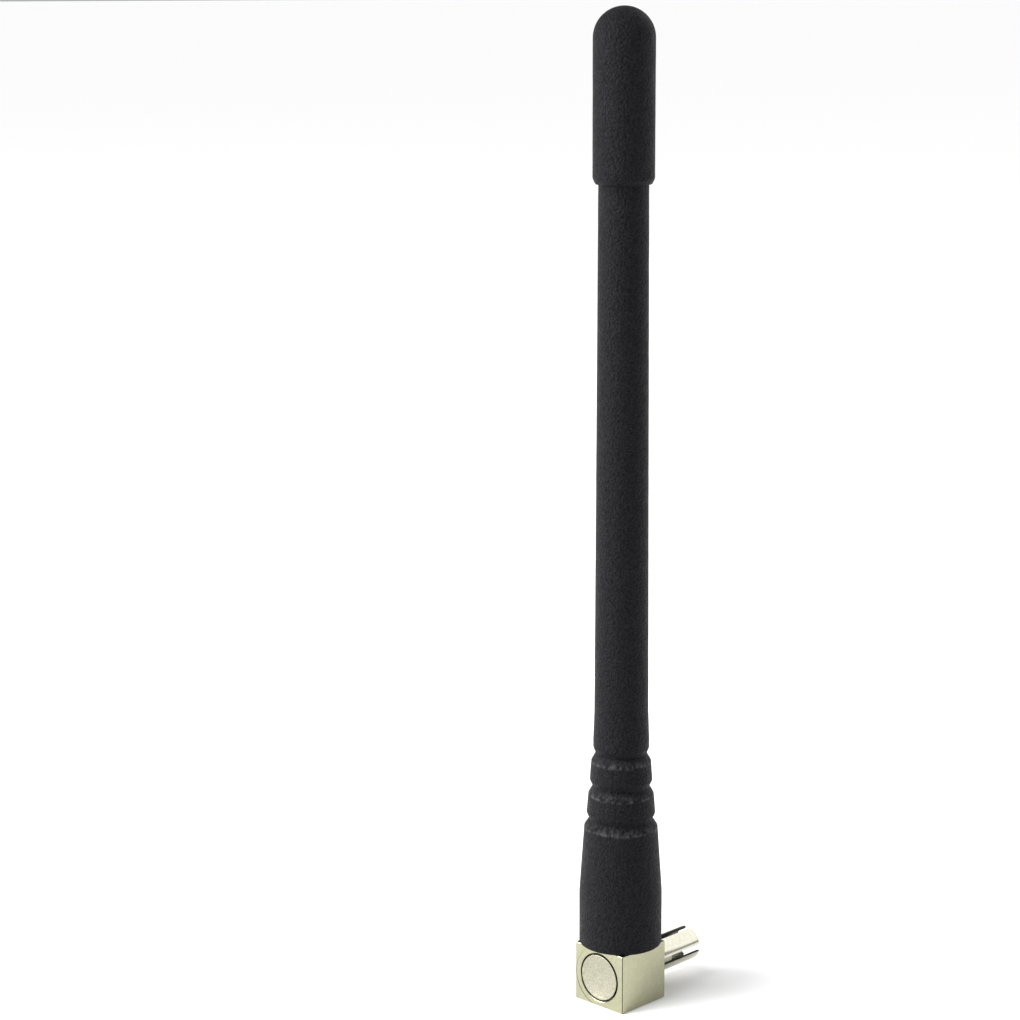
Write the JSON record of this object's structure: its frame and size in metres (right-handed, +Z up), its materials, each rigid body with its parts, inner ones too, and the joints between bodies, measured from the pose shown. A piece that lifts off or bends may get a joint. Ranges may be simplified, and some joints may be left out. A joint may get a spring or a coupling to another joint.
{
  "type": "omnidirectional whip antenna",
  "caption": "Slim black rubber whip antenna with a domed end cap and a ringed boot on a square nickel-plated block with a slotted right-angle plug.",
  "frame": {"origin": "centre of the connector block's underside, on the whip's axis", "axes": "+Z up the whip towards its domed cap, +Y along the plug, the way it is pushed into its socket"},
  "size_m": [0.009, 0.0159, 0.1079],
  "materials": {
    "rubber": "fine matte grain",
    "nickel_plate": "pale nickel plate, satin",
    "blasted_nickel": "nickel plate over a grainy blasted face",
    "bright_nickel": "bright nickel plate",
    "white_insulator": "waxy white",
    "gold_plate": "gold plate",
    "solder": "dull solder",
    "shrink_tube": "satin black",
    "copper": "bare copper wire",
    "cable_dielectric": "translucent natural",
    "braid": "tinned braid",
    "cable_jacket": "glossy brown",
    "brass": "drawn tube",
    "soft_spacer": "soft foam"
  },
  "bodies": {
    "root": {"end_cap": "rubber", "whip_sleeve": "rubber", "base_boot": "rubber", "connector_block": "nickel_plate", "rear_cap": "blasted_nickel", "plug_barrel": "bright_nickel", "plug_insulator": "white_insulator", "centre_contact": "gold_plate", "contact_solder": "solder", "rear_insulator": "white_insulator", "crimp_post": "nickel_plate", "crimp_ferrule": "nickel_plate", "ferrule_shrink": "shrink_tube", "cable_conductor": "copper", "cable_dielectric": "cable_dielectric", "cable_braid": "braid", "cable_jacket": "cable_jacket", "skirt_tube": "brass", "skirt_spacer": "white_insulator", "skirt_solder": "solder", "feed_bead": "white_insulator", "radiator_splice": "brass", "radiator_wire": "copper", "tip_spacer": "soft_spacer"}
  },
  "joints": []
}
